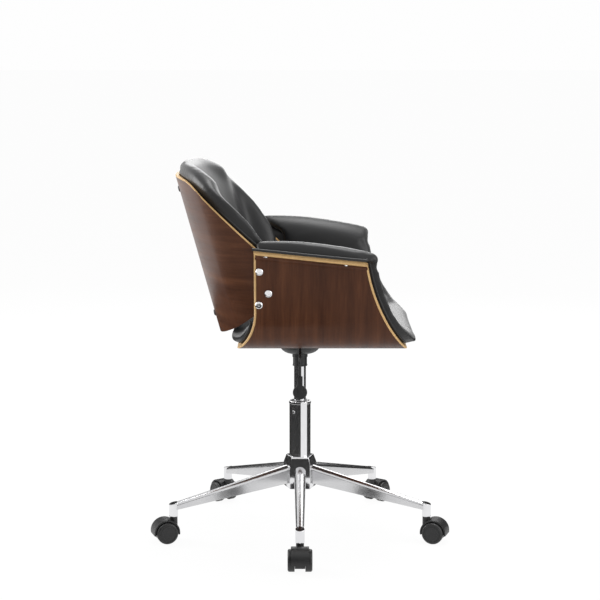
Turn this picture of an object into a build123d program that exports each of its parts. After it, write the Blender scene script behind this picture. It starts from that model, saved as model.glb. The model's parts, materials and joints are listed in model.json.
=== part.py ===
from build123d import *
import os
from math import atan, cos, hypot, pi, radians, sin, sqrt, tan

# Office armchair: five-legged base on twin-wheel casters, gas lift with a release lever,
# a U-shaped plywood seat shell whose sides are the arms, a wrap-round plywood back and upholstered liners.
# Millimetres. The floor is Z = 0 under the column, +Z is up and the chair faces +X.

# Clearances
fit_gap = 0.05            # radial clearance of running fits and snug bores
face_gap = 0.3            # between faces that pass each other or all but touch
soft_gap = 0.5            # between upholstery and the plywood that carries it

# Base
leg_count = 5
first_leg_angle = -90.0   # degrees, the leg that points to the sitter's right
stem_circle_radius = 310.0
hub_bottom = 107.0
hub_shoulder = 165.0
hub_top = 183.0
hub_flat_radius = 33.0    # from the axis to each of the hub's flat sides
hub_collar_radius = 27.5  # the same at the top of the sloping collar
hub_lip_height = 5.0
hub_lip_width = 4.0
leg_root_top = 161.0
leg_root_height = 42.0
leg_root_width = 27.0
leg_root_crown = 10.0
leg_tip_top = 88.5
leg_tip_height = 15.0
leg_tip_width = 17.5
leg_tip_crown = 6.5
leg_wall = 2.0
socket_diameter = 21.0
socket_bottom = 60.0
socket_cap = 4.0          # solid metal above the stem

# Casters
wheel_diameter = 50.0
wheel_width = 15.5
wheel_edge = 4.5          # rounding of a wheel's outer edge
wheel_cap = 2.0           # closed outer end of a wheel's bore
wheel_groove_diameter = 38.0
wheel_groove_width = 1.6
wheel_groove_depth = 0.8
caster_trail = 20.0
hood_web_width = 23.0
hood_roof_width = 40.0
hood_roof_gap = 2.0       # between a wheel's tread and the roof over it
hood_roof_wall = 3.5
hood_tip_height = 20.0    # lower edge of the roof above the floor
hood_belly_height = 11.0  # lower edge of the web above the floor
hood_belly_radius = 23.0
neck_diameter = 18.0
stem_diameter = 10.0
stem_depth = 22.0         # length of stem held in the hood
axle_diameter = 6.0

# Column and gas lift
tube_diameter = 50.0
tube_wall = 2.0
tube_top = 315.0
rim_height = 6.0
rim_proud = 1.0
rim_rounding = 0.9        # of the rim's proud width
end_plate_thickness = 5.0
bearing_diameter = 28.0
bearing_height = 6.0
rod_diameter = 10.0
rod_collar_diameter = 20.0
rod_collar_height = 6.0
clip_diameter = 16.0
clip_thickness = 1.5
clip_groove = 0.75
clip_mouth = 7.0
rod_tail = 1.5
cylinder_diameter = 28.0
cylinder_wall = 2.0
cylinder_cap = 10.0
taper_length = 30.0
taper_reduction = 1.5     # how much the diameter falls along the taper
height_stroke = 75.0
stroke_margin = 1.5
guide_length = 16.0
piston_length = 14.0
bush_length = 83.0
bush_inset = 3.0
rivet_angle = -126.0      # degrees round the tube
rivet_height = 291.0
rivet_diameter = 4.0
rivet_head_diameter = 7.0
rivet_head_height = 1.6
rivet_depth = 6.0
sleeve_wall = 2.5
sleeve_length = 20.7
sleeve_ring_proud = 0.8
sleeve_ring_height = 3.0

# Seat mechanism, measured down from the underside of the seat
seat_bottom = 470.0
plate_width = 180.0
plate_thickness = 3.0
plate_corner = 12.0
plate_bolt_spacing = 140.0
plate_bolt_diameter = 6.0
plate_bolt_head = 11.0
plate_bolt_head_height = 4.0
cup_depth = 37.0
cup_wall = 2.5
cup_rim_radius = 48.0
cup_rim_drop = 21.0       # from the plate down to the rim
cup_side_radius = 46.0
cup_floor_radius = 27.0
cup_bulge = 0.3           # height of the bowl's fullest point as a share of the bowl
taper_socket_diameter = 36.0
taper_socket_drop = 10.0  # below the cup's floor
taper_socket_rise = 20.0  # above the cup's floor
lever_drop = 8.0          # pivot below the plate
lever_arm = 34.0          # from the column axis to the pivot
lever_lift = 6.0          # degrees of travel
lever_rod_diameter = 6.0
lever_slope = 8.0         # degrees the rod falls on its way out
lever_reach = 128.0       # from the column axis to the hanging part of the rod
lever_bend_radius = 16.0
lever_slot_gap = 2.0      # beside the rod where it leaves the cup
lever_eye_diameter = 10.0
lever_eye_width = 11.4
lever_pin_diameter = 5.0
lever_pin_proud = 1.0
ear_thickness = 3.0
ear_length = 12.0
paddle_diameter = 33.0
paddle_thickness = 7.0
paddle_neck_width = 12.0
paddle_neck_top = 397.0
paddle_centre = 360.5
paddle_rod_depth = 25.0
paddle_edge = 2.0
valve_diameter = 7.0
valve_length = 10.0
valve_gap = 0.1           # between the lever and the valve pin

# Seat shell: a U of plywood, flat under the seat, with leaning sides that flare out at the top
shell_thickness = 11.0
shell_width = 590.0
bend_radius = 90.0        # middle of the ply, seat to side
side_lean = 7.0           # degrees outward
flare_radius = 22.0       # middle of the ply, side to arm top
flange_length = 12.0
flange_rise = 10.0        # degrees above level
arm_rear_height = 709.0   # top of the ply at the back of the arms
arm_fall = 6.1            # degrees the arms fall towards the front
shell_rear = -101.0       # back edge of the arms
shell_foot_rear = -144.0  # back edge of the seat
shell_rear_curve = 95.0   # height over which the back edge swings rearward
shell_front = 147.0       # front edge of the arms, at the top
shell_foot_front = 244.0  # front edge of the seat
shell_front_hollow = 17.5 # sag of the front edge behind a straight line
shell_front_corner = 12.0 # rounding where the front edge meets the arms
trim_margin = 40.0

# Back shell: a wrap of plywood that leans back and is bolted inside the arms
back_thickness = 11.0
back_bottom = 488.0
back_above_arms = 144.0   # top of the back above the arms' rear
back_bottom_rear = -187.0 # outer face on the centre line at the bottom
back_top_rear = -288.0    # the same at the top
back_depth = 128.0        # from the rear face to where the sides run straight
back_corner_radius = 85.0
back_top_fall = 43.0      # degrees the top edge falls towards the arms
back_top_rounding = 60.0
back_foot_share = 0.4843  # front end of its bottom edge, as a share of the way up to the arms
back_overlap = 51.0       # length of back shell inside the arms
back_meets_arm = 3.5      # back edge above the arm's ply where they meet

# Upholstery
seat_pad_thickness = 40.0
side_pad_thickness = 26.0
arm_crest_thickness = 32.0
arm_edge_thickness = 12.0
seat_pad_overhang = 21.0  # front roll ahead of the seat's plywood
arm_pad_overhang = 25.0
seat_pad_rear_overhang = 14.0
pad_seam_gap = 8.0        # between the liner and the back shell's edges
pad_edge_blend = 5.0      # how softly the liner's back edge changes direction
arm_pad_inset = 4.0       # back end of the arm pads ahead of the plywood's edge
arm_pad_corner = 14.0     # how far the arm pads' outer corners are drawn in
back_pad_thickness = 48.0
back_side_pad_thickness = 24.0
back_edge_thickness = 9.0
back_pad_proud = 37.0     # pad above the plywood's top edge
back_pad_rounding = 14.0  # how softly the pad's level top turns into its sloping edge
back_pad_raise = 16.0     # bottom of the pad above the plywood's bottom edge, on the centre line
back_pad_rise = 0.896     # how steeply the pad's bottom edge rises, as a share of the plywood's
back_pad_side_share = 0.52
back_pad_taper = 1.3      # where its proud edge would run out, as a share of the pad's side
pad_shoulder = 0.82       # thickness at the shoulders as a share of the crown
arm_shoulder = 0.7        # the same on the arms
pad_waist = 0.45          # where the rolled ends bulge most
pad_roll = 0.34           # length of a rolled end as a share of the thickness
pad_foot = 0.2            # how far the underside stops short of a rolled end
front_roll = 0.44         # the liner's front end, on the sides and arms
front_waist = 0.2
front_foot = 0.04
seat_front_roll = 0.66    # the same on the seat
seat_front_waist = 0.1
seat_front_foot = 0.01

# Fasteners
head_rounding = 0.7       # of a pan head's height
thread_short = 1.0        # bolt ends stop short of the face they point at
arm_bolt_diameter = 6.0
arm_bolt_head = 17.5
arm_bolt_head_height = 5.0
arm_bolt_key = 5.0
# ahead of the arm's back edge, and how far up from the back's bottom edge to the arm's top
arm_bolt_places = [(12.5, 0.6459), (32.0, 0.2236), (11.0, 0.1323)]
arm_nut_diameter = 10.0
arm_nut_length = 9.5
arm_screw_head = 8.0
arm_screw_head_height = 3.0
arm_screw_diameter = 4.0
arm_screw_bite = 8.0
arm_screw_places = [-74.0, 100.0]
back_screw_head = 15.0
back_screw_head_height = 4.5
back_screw_diameter = 5.0
back_screw_bite = 10.0
back_screw_rise = 38.0    # lower screw above the back's bottom edge
back_screw_drop = 36.0    # upper screw below its top edge
seat_screw_head = 11.0
seat_screw_head_height = 3.2
seat_screw_diameter = 5.0
seat_screw_bite = 10.0
seat_screw_places = [(-94.0, 130.0), (197.0, 130.0)]

# Heights and lengths that follow from the values above
leg_angles = [first_leg_angle + i * 360.0 / leg_count for i in range(leg_count)]
leg_tip_radius = stem_circle_radius + socket_diameter / 2
leg_top_slope = (leg_root_top - leg_tip_top) / (leg_tip_radius - hub_flat_radius)
stem_top = leg_tip_top - socket_cap
wheel_inner = hood_web_width / 2 + 2 * fit_gap + face_gap
hood_top = socket_bottom - face_gap
tube_bottom = hub_bottom + hub_lip_height
tube_bore = tube_diameter - 2 * tube_wall
plate_bottom = seat_bottom - plate_thickness
lever_height = plate_bottom - lever_drop
valve_top = lever_height - lever_rod_diameter / 2 - valve_gap
valve_stroke = lever_arm * sin(radians(lever_lift))
cylinder_top = valve_top - valve_stroke - face_gap
cylinder_bore = cylinder_diameter - 2 * cylinder_wall
bearing_bottom = tube_bottom + end_plate_thickness
rod_collar_bottom = bearing_bottom + bearing_height + 2 * fit_gap
rod_collar_top = rod_collar_bottom + rod_collar_height
cylinder_bottom = rod_collar_top + height_stroke + stroke_margin
piston_bottom = cylinder_bottom + guide_length + stroke_margin
clip_top = tube_bottom - 2 * fit_gap
clip_bottom = clip_top - clip_thickness
cup_bottom = plate_bottom - cup_depth
taper_socket_bottom = cup_bottom - taper_socket_drop
sleeve_top = taper_socket_bottom - face_gap
sleeve_bottom = sleeve_top - sleeve_length
turn = radians(90 - side_lean)
rise = radians(flange_rise)
back_top = arm_rear_height + back_above_arms
back_lean = (back_top_rear - back_bottom_rear) / (back_top - back_bottom)
back_level_thickness = back_thickness * sqrt(1 + back_lean ** 2)
back_front = shell_rear + back_overlap
back_bottom_slope = back_foot_share * (arm_rear_height - back_bottom) / (back_front - back_bottom_rear)
on_floor = (Align.CENTER, Align.CENTER, Align.MIN)


def soft_min(a, b, blend):
    return (a + b) / 2 - hypot((a - b) / 2, blend)


def ease(share):
    return share * share * (3 - 2 * share)


def mix(a, b, share):
    return a + (b - a) * share


def rod(diameter, bottom, top):
    return Pos(0, 0, bottom) * Cylinder(diameter / 2, top - bottom, align=on_floor)


def ring(outer, inner, bottom, top):
    return rod(outer, bottom, top) - rod(inner, bottom, top)


def turned(points):
    # A solid of revolution from (radius, height) points
    outline = Polyline(*[(r, 0, z) for r, z in points], close=True)
    return revolve(make_face(outline), Axis.Z)


def slab(points, width):
    # A side outline of (x, z) points, as thick as width across the chair's middle plane
    outline = make_face(Polyline(*[(x, 0, z) for x, z in points], close=True))
    return extrude(outline, width / 2, dir=(0, 1, 0), both=True)


def pan_head_screw(head, head_height, diameter, length):
    # Head above Z = 0, shank below
    dome = Cylinder(head / 2, head_height, align=on_floor)
    dome = fillet(dome.edges().group_by(Axis.Z)[-1], head_rounding * head_height)
    return dome + rod(diameter, -length, 0)


# Base

def polygon(flat_radius, height):
    outline = RegularPolygon(flat_radius, leg_count, major_radius=False)
    return Pos(0, 0, height) * Rot(0, 0, first_leg_angle + 180.0 / leg_count) * outline


def base_hub():
    body = extrude(polygon(hub_flat_radius, hub_bottom), hub_shoulder - hub_bottom)
    body += loft([polygon(hub_flat_radius, hub_shoulder), polygon(hub_collar_radius, hub_top)])
    body -= rod(tube_diameter + 2 * fit_gap, tube_bottom, hub_top)
    return body - rod(tube_diameter - 2 * hub_lip_width, hub_bottom, tube_bottom)


def leg_section(radius, top, height, width, crown, wall):
    # Skirts and a rounded ridge; the inner form is smaller by the wall and runs out of the bottom
    half = width / 2 - wall
    ridge = top - wall
    shoulder = top - crown
    foot = top - height - wall
    skirts = Polyline((radius, -half, shoulder), (radius, -half, foot),
                      (radius, half, foot), (radius, half, shoulder))
    arch = ThreePointArc((radius, -half, shoulder), (radius, 0, ridge), (radius, half, shoulder))
    return make_face([skirts, arch])


def leg_form(wall):
    root = leg_section(hub_flat_radius, leg_root_top, leg_root_height, leg_root_width, leg_root_crown, wall)
    tip = leg_section(leg_tip_radius, leg_tip_top, leg_tip_height, leg_tip_width, leg_tip_crown, wall)
    return loft([root, tip], ruled=True)


def base_leg():
    leg = leg_form(0) - leg_form(leg_wall)
    beyond = Pos(stem_circle_radius, 0, leg_tip_top) * Box(
        stem_circle_radius, leg_root_width, 2 * leg_root_top, align=(Align.MIN, Align.CENTER, Align.CENTER))
    hole = Pos(stem_circle_radius, 0, 0) * rod(socket_diameter + 2 * fit_gap, 0, leg_root_top)
    return leg - beyond - hole


def caster_socket():
    inner = stem_circle_radius - socket_diameter
    outer = stem_circle_radius + socket_diameter
    top_inner = leg_tip_top + (leg_tip_radius - inner) * leg_top_slope
    top_outer = leg_tip_top + (leg_tip_radius - outer) * leg_top_slope
    under_slope = slab([(inner, 0), (outer, 0), (outer, top_outer), (inner, top_inner)], 2 * socket_diameter)
    post = Pos(stem_circle_radius, 0, 0) * rod(socket_diameter, socket_bottom, leg_root_top)
    bore = rod(stem_diameter + 2 * fit_gap, socket_bottom, stem_top + face_gap)
    return (post & under_slope) - Pos(stem_circle_radius, 0, 0) * bore


# Casters: made with the stem on the Z axis and the wheels trailing along +X

def wheel_line(solid):
    # Lays a part that is made along Z onto the wheel axis, +Z becoming +Y
    return Pos(caster_trail, 0, wheel_diameter / 2) * Rot(-90, 0, 0) * solid


def caster_hood():
    roof_inner = wheel_diameter / 2 + hood_roof_gap
    roof_outer = roof_inner + hood_roof_wall
    span = 4 * roof_outer
    above = Box(span, span, span, align=on_floor)
    disc = wheel_line(Cylinder(roof_outer, hood_roof_width))
    beside = wheel_line(Cylinder(roof_inner, hood_roof_width) - Cylinder(roof_inner, hood_web_width))
    roof = (disc - beside) & (Pos(caster_trail, 0, hood_tip_height) * above)
    belly = wheel_line(Cylinder(hood_belly_radius, hood_web_width))
    belly = belly & (Pos(caster_trail, 0, hood_belly_height) * above)
    hood = roof + belly + rod(neck_diameter, hood_top - stem_depth, hood_top)
    hood -= rod(stem_diameter + 2 * fit_gap, hood_top - stem_depth, hood_top)
    return hood - wheel_line(Cylinder(axle_diameter / 2 + fit_gap, hood_web_width))


def caster_stem():
    return rod(stem_diameter, hood_top - stem_depth, stem_top)


def axle_reach():
    return wheel_inner + wheel_width - wheel_cap - face_gap


def caster_axle():
    return wheel_line(Cylinder(axle_diameter / 2, 2 * axle_reach()))


def caster_wheel(side):
    disc = Pos(0, 0, wheel_inner) * Cylinder(wheel_diameter / 2, wheel_width, align=on_floor)
    rims = disc.edges().filter_by(GeomType.CIRCLE).sort_by(Axis.Z)
    disc = fillet(rims[-1], wheel_edge)
    face = wheel_inner + wheel_width
    disc -= ring(wheel_groove_diameter, wheel_groove_diameter - 2 * wheel_groove_width,
                 face - wheel_groove_depth, face)
    disc -= rod(axle_diameter + 2 * fit_gap, wheel_inner, face - wheel_cap)
    wheel = wheel_line(disc)
    return wheel if side > 0 else mirror(wheel, about=Plane.XZ)


def on_leg(solid, angle):
    return Rot(0, 0, angle) * Pos(stem_circle_radius, 0, 0) * solid


# Column and gas lift

def rivet_way(solid):
    # Turns a part made along Z so that +Z points out of the tube at the rivet
    return Rot(0, 0, rivet_angle) * Pos(tube_diameter / 2, 0, rivet_height) * Rot(0, 90, 0) * solid


def rivet_hole():
    return rivet_way(rod(rivet_diameter + 2 * fit_gap, -rivet_depth - face_gap, tube_wall))


def outer_tube():
    body = ring(tube_diameter, tube_bore, tube_bottom, tube_top)
    rim = ring(tube_diameter + 2 * rim_proud, tube_bore, tube_top - rim_height, tube_top)
    rim = fillet(rim.edges().filter_by(GeomType.CIRCLE).sort_by(SortBy.RADIUS)[-2:], rim_rounding * rim_proud)
    return body + rim - rivet_hole()


def guide_bush():
    top = tube_top - bush_inset
    inner = cylinder_diameter + 2 * fit_gap
    return ring(tube_bore - 2 * fit_gap, inner, top - bush_length, top) - rivet_hole()


def bush_rivet():
    rivet = pan_head_screw(rivet_head_diameter, rivet_head_height, rivet_diameter, rivet_depth)
    return rivet_way(Pos(0, 0, fit_gap) * rivet)


def end_plate():
    return ring(tube_bore - 2 * fit_gap, rod_diameter + 2 * face_gap, tube_bottom, bearing_bottom)


def thrust_bearing():
    inner = rod_diameter + 2 * face_gap
    return ring(bearing_diameter, inner, bearing_bottom, bearing_bottom + bearing_height)


def piston_rod():
    body = rod(rod_diameter, clip_bottom - rod_tail, piston_bottom + piston_length)
    body += rod(rod_collar_diameter, rod_collar_bottom, rod_collar_top)
    groove_diameter = rod_diameter - 2 * clip_groove
    return body - ring(2 * rod_diameter, groove_diameter, clip_bottom - fit_gap, clip_top + fit_gap)


def retaining_clip():
    clip = ring(clip_diameter, rod_diameter - 2 * clip_groove + 2 * fit_gap, clip_bottom, clip_top)
    mouth = Box(clip_diameter, clip_mouth, 4 * clip_thickness, align=(Align.MIN, Align.CENTER, Align.CENTER))
    return clip - Pos(0, 0, clip_bottom) * mouth


def piston():
    inner = rod_diameter + 2 * fit_gap
    return ring(cylinder_bore - 2 * fit_gap, inner, piston_bottom, piston_bottom + piston_length)


def cylinder_guide():
    inner = rod_diameter + 2 * fit_gap
    return ring(cylinder_bore - 2 * fit_gap, inner, cylinder_bottom, cylinder_bottom + guide_length)


def gas_cylinder():
    r = cylinder_diameter / 2
    tip = r - taper_reduction / 2
    body = turned([(0, cylinder_bottom), (r, cylinder_bottom), (r, cylinder_top - taper_length),
                   (tip, cylinder_top), (0, cylinder_top)])
    body -= rod(cylinder_bore, cylinder_bottom, cylinder_top - cylinder_cap)
    return body - rod(valve_diameter + 2 * fit_gap, cylinder_bottom, cylinder_top)


def cylinder_sleeve():
    inner = cylinder_diameter + 2 * fit_gap
    outer = inner + 2 * sleeve_wall
    body = ring(outer, inner, sleeve_bottom, sleeve_top)
    ring_top = sleeve_bottom + sleeve_ring_height
    return body + ring(outer + 2 * sleeve_ring_proud, inner, sleeve_bottom, ring_top)


def valve_pin():
    r = valve_diameter / 2
    pin = rod(valve_diameter, valve_top - valve_length, valve_top - r)
    return pin + Pos(0, 0, valve_top - r) * Sphere(r)


# Seat mechanism

def taper_socket():
    r = cylinder_diameter / 2 + fit_gap
    top = cup_bottom + taper_socket_rise
    start = cylinder_top - taper_length
    r_top = r - taper_reduction / 2 * (top - start) / taper_length
    outer = taper_socket_diameter / 2
    return turned([(r, taper_socket_bottom), (outer, taper_socket_bottom), (outer, top),
                   (r_top, top), (r, start)])


def lever_slot():
    width = lever_rod_diameter + 2 * lever_slot_gap
    low = lever_height - lever_rod_diameter
    return Pos(0, -cup_rim_radius, low) * Box(width, cup_rim_radius, plate_bottom - low, align=on_floor)


def mechanism_cup():
    rim = plate_bottom - cup_rim_drop
    hole = taper_socket_diameter / 2 + fit_gap
    bowl_outer = (cup_floor_radius + cup_side_radius) / 2 + cup_wall
    bowl_mid = cup_bottom + (rim - cup_bottom) * cup_bulge
    outline = [
        Line((hole, 0, cup_bottom), (cup_floor_radius, 0, cup_bottom)),
        ThreePointArc((cup_floor_radius, 0, cup_bottom), (bowl_outer, 0, bowl_mid), (cup_rim_radius, 0, rim)),
        Polyline((cup_rim_radius, 0, rim), (cup_rim_radius, 0, rim + cup_wall),
                 (cup_side_radius, 0, rim + cup_wall),
                 (cup_side_radius, 0, plate_bottom), (cup_side_radius - cup_wall, 0, plate_bottom),
                 (cup_side_radius - cup_wall, 0, rim + cup_wall)),
        ThreePointArc((cup_side_radius - cup_wall, 0, rim + cup_wall),
                      (bowl_outer - cup_wall, 0, bowl_mid + cup_wall),
                      (cup_floor_radius - cup_wall, 0, cup_bottom + cup_wall)),
        Polyline((cup_floor_radius - cup_wall, 0, cup_bottom + cup_wall), (hole, 0, cup_bottom + cup_wall),
                 (hole, 0, cup_bottom)),
    ]
    return revolve(make_face(outline), Axis.Z) - lever_slot()


def plate_bolt_spots():
    half = plate_bolt_spacing / 2
    return [Pos(sx * half, sy * half, 0) for sx in (-1, 1) for sy in (-1, 1)]


def across(diameter, length):
    # A rod along X through the lever pivot
    return Pos(0, -lever_arm, lever_height) * Rot(0, 90, 0) * Cylinder(diameter / 2, length)


def ear_span():
    return lever_eye_width + 2 * face_gap + 2 * ear_thickness


def seat_plate():
    plate = Pos(0, 0, plate_bottom) * Box(plate_width, plate_width, plate_thickness, align=on_floor)
    plate = fillet(plate.edges().filter_by(Axis.Z), plate_corner)
    ear_drop = lever_drop + lever_pin_diameter
    for side in (-1, 1):
        middle = side * (ear_span() - ear_thickness) / 2
        plate += Pos(middle, -lever_arm, plate_bottom - ear_drop) * Box(
            ear_thickness, ear_length, ear_drop, align=on_floor)
    plate -= across(lever_pin_diameter + 2 * fit_gap, 2 * ear_span())
    for spot in plate_bolt_spots():
        plate -= spot * rod(plate_bolt_diameter + 2 * face_gap, plate_bottom, seat_bottom)
    return plate


def plate_bolts():
    bolts = []
    for spot in plate_bolt_spots():
        head = Pos(0, 0, plate_bottom - plate_bolt_head_height) * extrude(
            RegularPolygon(plate_bolt_head / 2, 6), plate_bolt_head_height)
        shank = rod(plate_bolt_diameter, plate_bottom, seat_bottom + shell_thickness - thread_short)
        bolts.append(spot * (head + shank))
    return bolts


def lever_pin():
    return across(lever_pin_diameter, ear_span() + 2 * lever_pin_proud)


def lever_rod():
    slope = radians(lever_slope)
    fall = (lever_reach - lever_arm) * tan(slope)
    path = FilletPolyline(
        (0, -lever_arm, lever_height), (0, -lever_reach, lever_height - fall),
        (0, -lever_reach, paddle_neck_top - paddle_rod_depth), radius=lever_bend_radius)
    start = Plane(path @ 0, z_dir=path % 0)
    bent = sweep(start * Circle(lever_rod_diameter / 2), path=path)
    tip = Pos(0, -lever_arm, lever_height) * Rot(-90, 0, 0) * Cylinder(
        lever_rod_diameter / 2, lever_arm, align=on_floor)
    eye = across(lever_eye_diameter, lever_eye_width)
    return bent + tip + eye - across(lever_pin_diameter + 2 * fit_gap, lever_eye_width)


def lever_paddle():
    flat = Rot(90, 0, 0) * Cylinder(paddle_diameter / 2, paddle_thickness)
    flat = Pos(0, -lever_reach, paddle_centre) * flat
    flat = fillet(flat.edges().filter_by(GeomType.CIRCLE), paddle_edge)
    neck_length = paddle_neck_top - paddle_centre
    neck = Pos(0, -lever_reach, paddle_centre) * Box(
        paddle_neck_width, lever_rod_diameter + 2 * paddle_edge, neck_length, align=on_floor)
    neck = fillet(neck.edges().filter_by(Axis.Z), paddle_edge)
    socket = Pos(0, -lever_reach, 0) * rod(
        lever_rod_diameter + 2 * fit_gap, paddle_neck_top - paddle_rod_depth - fit_gap, paddle_neck_top)
    return flat + neck - socket


# Seat shell

def half_curve(offset, wall_length):
    # One half of the U as (y, z) points, offset towards the sitter from the middle of the ply:
    # seat end, bend middle, side foot, side head, flare middle, flange start, flange end
    bend = bend_radius - offset
    flare = flare_radius + offset
    bend_centre = (flat_half, seat_bottom + shell_thickness / 2 + bend_radius)
    head_y = bend_centre[0] + bend_radius * sin(turn) + wall_length * cos(turn)
    head_z = bend_centre[1] - bend_radius * cos(turn) + wall_length * sin(turn)
    flare_centre = (head_y + flare_radius * sin(turn), head_z - flare_radius * cos(turn))
    points = [(bend_centre[0] + bend * sin(a), bend_centre[1] - bend * cos(a)) for a in (0, turn / 2, turn)]
    points += [(flare_centre[0] - flare * sin(a), flare_centre[1] + flare * cos(a))
               for a in (turn, (turn + rise) / 2, rise)]
    y, z = points[-1]
    return points + [(y + flange_length * cos(rise), z + flange_length * sin(rise))]


def wall_length_at(x):
    # The sides get lower towards the front, so the arms fall
    height = arm_rear_height - (x - shell_rear) * tan(radians(arm_fall))
    return (height - half_curve(shell_thickness / 2, 0)[-1][1]) / sin(turn)


# Half of the flat seat, so that the arms come out at the shell's full width
flat_half = 0.0
flat_half = shell_width / 2 - half_curve(0, wall_length_at(shell_rear))[-1][0]
section_rear = shell_foot_rear - trim_margin
section_front = shell_foot_front + trim_margin


def shell_section(x):
    edges = []
    ends = []
    for offset in (-shell_thickness / 2, shell_thickness / 2):
        points = half_curve(offset, wall_length_at(x))
        y, z = points[0]
        edges.append(Line((x, -y, z), (x, y, z)))
        for side in (-1, 1):
            p = [(x, side * y, z) for y, z in points]
            edges.append(ThreePointArc(p[0], p[1], p[2]))
            edges.append(Line(p[2], p[3]))
            edges.append(ThreePointArc(p[3], p[4], p[5]))
            edges.append(Line(p[5], p[6]))
            ends.append(p[6])
    edges.append(Line(ends[0], ends[2]))
    edges.append(Line(ends[1], ends[3]))
    return make_face(edges)


def front_edge(height):
    # x of the seat shell's front edge
    top = arm_rear_height - (shell_front - shell_rear) * tan(radians(arm_fall))
    dx = shell_foot_front - shell_front
    dz = seat_bottom - top
    chord = hypot(dx, dz)
    radius = (chord ** 2 / 4 + shell_front_hollow ** 2) / (2 * shell_front_hollow)
    lift = radius - shell_front_hollow
    centre_x = (shell_foot_front + shell_front) / 2 - dz / chord * lift
    centre_z = (seat_bottom + top) / 2 + dx / chord * lift
    return centre_x - sqrt(radius ** 2 - (min(max(height, seat_bottom), top) - centre_z) ** 2)


def rear_edge(height):
    # x of the seat shell's back edge
    drop = min(max(seat_bottom + shell_rear_curve - height, 0), shell_rear_curve)
    step = shell_rear - shell_foot_rear
    radius = (shell_rear_curve ** 2 + step ** 2) / (2 * step)
    return shell_rear - radius + sqrt(radius ** 2 - drop ** 2)


def arm_line(x):
    # Just above the arms' plywood
    return arm_rear_height + face_gap - (x - shell_rear) * tan(radians(arm_fall))


def shell_outline():
    low = seat_bottom - trim_margin
    top_front = arm_rear_height - (shell_front - shell_rear) * tan(radians(arm_fall))
    bend_start = seat_bottom + shell_rear_curve
    halfway = (seat_bottom + top_front) / 2
    bend_halfway = (seat_bottom + bend_start) / 2
    corner = (shell_front, 0, arm_line(shell_front))
    edges = [
        Polyline((shell_foot_rear, 0, seat_bottom), (shell_foot_rear, 0, low), (shell_foot_front, 0, low),
                 (shell_foot_front, 0, seat_bottom)),
        ThreePointArc((shell_foot_front, 0, seat_bottom), (front_edge(halfway), 0, halfway), corner),
        Polyline(corner, (shell_rear, 0, arm_line(shell_rear)), (shell_rear, 0, bend_start)),
        ThreePointArc((shell_rear, 0, bend_start), (rear_edge(bend_halfway), 0, bend_halfway),
                      (shell_foot_rear, 0, seat_bottom)),
    ]
    outline = make_face(edges)
    return fillet(outline.vertices().sort_by_distance(Vector(*corner))[0], shell_front_corner)


def wall_spot(height, offset):
    # (y, z) of a point on the straight part of a side
    y, z = half_curve(offset, 0)[2]
    return y + (height - z) / tan(turn), height


def side_plane(x, height, side, offset):
    # A plane on a side with its Z axis pointing outwards
    y, z = wall_spot(height, offset)
    return Plane(origin=(x, side * y, z), x_dir=(1, 0, 0), z_dir=(0, side * sin(turn), -cos(turn)))


def flange_plane(x, side):
    # A plane under an arm's flange with its Z axis pointing down
    y, z = half_curve(-shell_thickness / 2, wall_length_at(x))[5]
    step = arm_screw_head / 2 + face_gap
    origin = (x, side * (y + step * cos(rise)), z + step * sin(rise))
    return Plane(origin=origin, x_dir=(1, 0, -tan(radians(arm_fall))), z_dir=flange_normal(side))


def flange_normal(side):
    along = Vector(1, 0, -tan(radians(arm_fall)))
    across_arm = Vector(0, side * cos(rise), sin(rise))
    normal = along.cross(across_arm).normalized()
    return normal if normal.Z < 0 else normal * -1


def back_spot(height):
    # Outer face of the back on the centre line
    return back_bottom_rear + (height - back_bottom) * back_lean


def back_plane(height):
    # A plane on the back's outer face with its Z axis pointing rearwards
    return Plane(origin=(back_spot(height), 0, height), x_dir=(0, 1, 0), z_dir=(-1, 0, back_lean))


def seat_screw_spots():
    return [Pos(x, side * y, seat_bottom) * Rot(180, 0, 0) for x, y in seat_screw_places for side in (-1, 1)]


def arm_screw_spots():
    return [flange_plane(x, side) for x in arm_screw_places for side in (-1, 1)]


def arm_bolt_spots():
    spots = []
    for step, share in arm_bolt_places:
        x = shell_rear + step
        z = mix(back_edge_bottom(x), arm_rear_height, share)
        spots += [side_plane(x, z, side, -shell_thickness / 2) for side in (-1, 1)]
    return spots


def back_screw_spots():
    return [back_plane(back_bottom + back_screw_rise), back_plane(back_top - back_screw_drop)]


def holes(spots, diameter, depth):
    # Holes from just outside each spot to a depth inside it
    drill = rod(diameter, -depth, 2 * shell_thickness)
    return [spot * drill for spot in spots]


def seat_shell():
    form = loft([shell_section(section_rear), shell_section(section_front)], ruled=True)
    form = form & extrude(shell_outline(), shell_width, dir=(0, 1, 0), both=True)
    cuts = holes(seat_screw_spots(), seat_screw_diameter + 2 * fit_gap, 2 * shell_thickness)
    cuts += holes(arm_screw_spots(), arm_screw_diameter + 2 * fit_gap, 2 * shell_thickness)
    cuts += holes(arm_bolt_spots(), arm_bolt_diameter + 2 * fit_gap, 2 * shell_thickness)
    bolt_way = rod(plate_bolt_diameter + 2 * fit_gap, plate_bottom, seat_bottom + 2 * shell_thickness)
    cuts += [spot * bolt_way for spot in plate_bolt_spots()]
    for cut in cuts:
        form -= cut
    return form


# Back shell

def back_half_width(height):
    return wall_spot(height, shell_thickness / 2)[0] - face_gap


def back_angle(height):
    # How far the rear arc runs before the corner arc takes over
    return 2 * atan((back_depth - back_corner_radius) / (back_half_width(height) - back_corner_radius))


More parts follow.
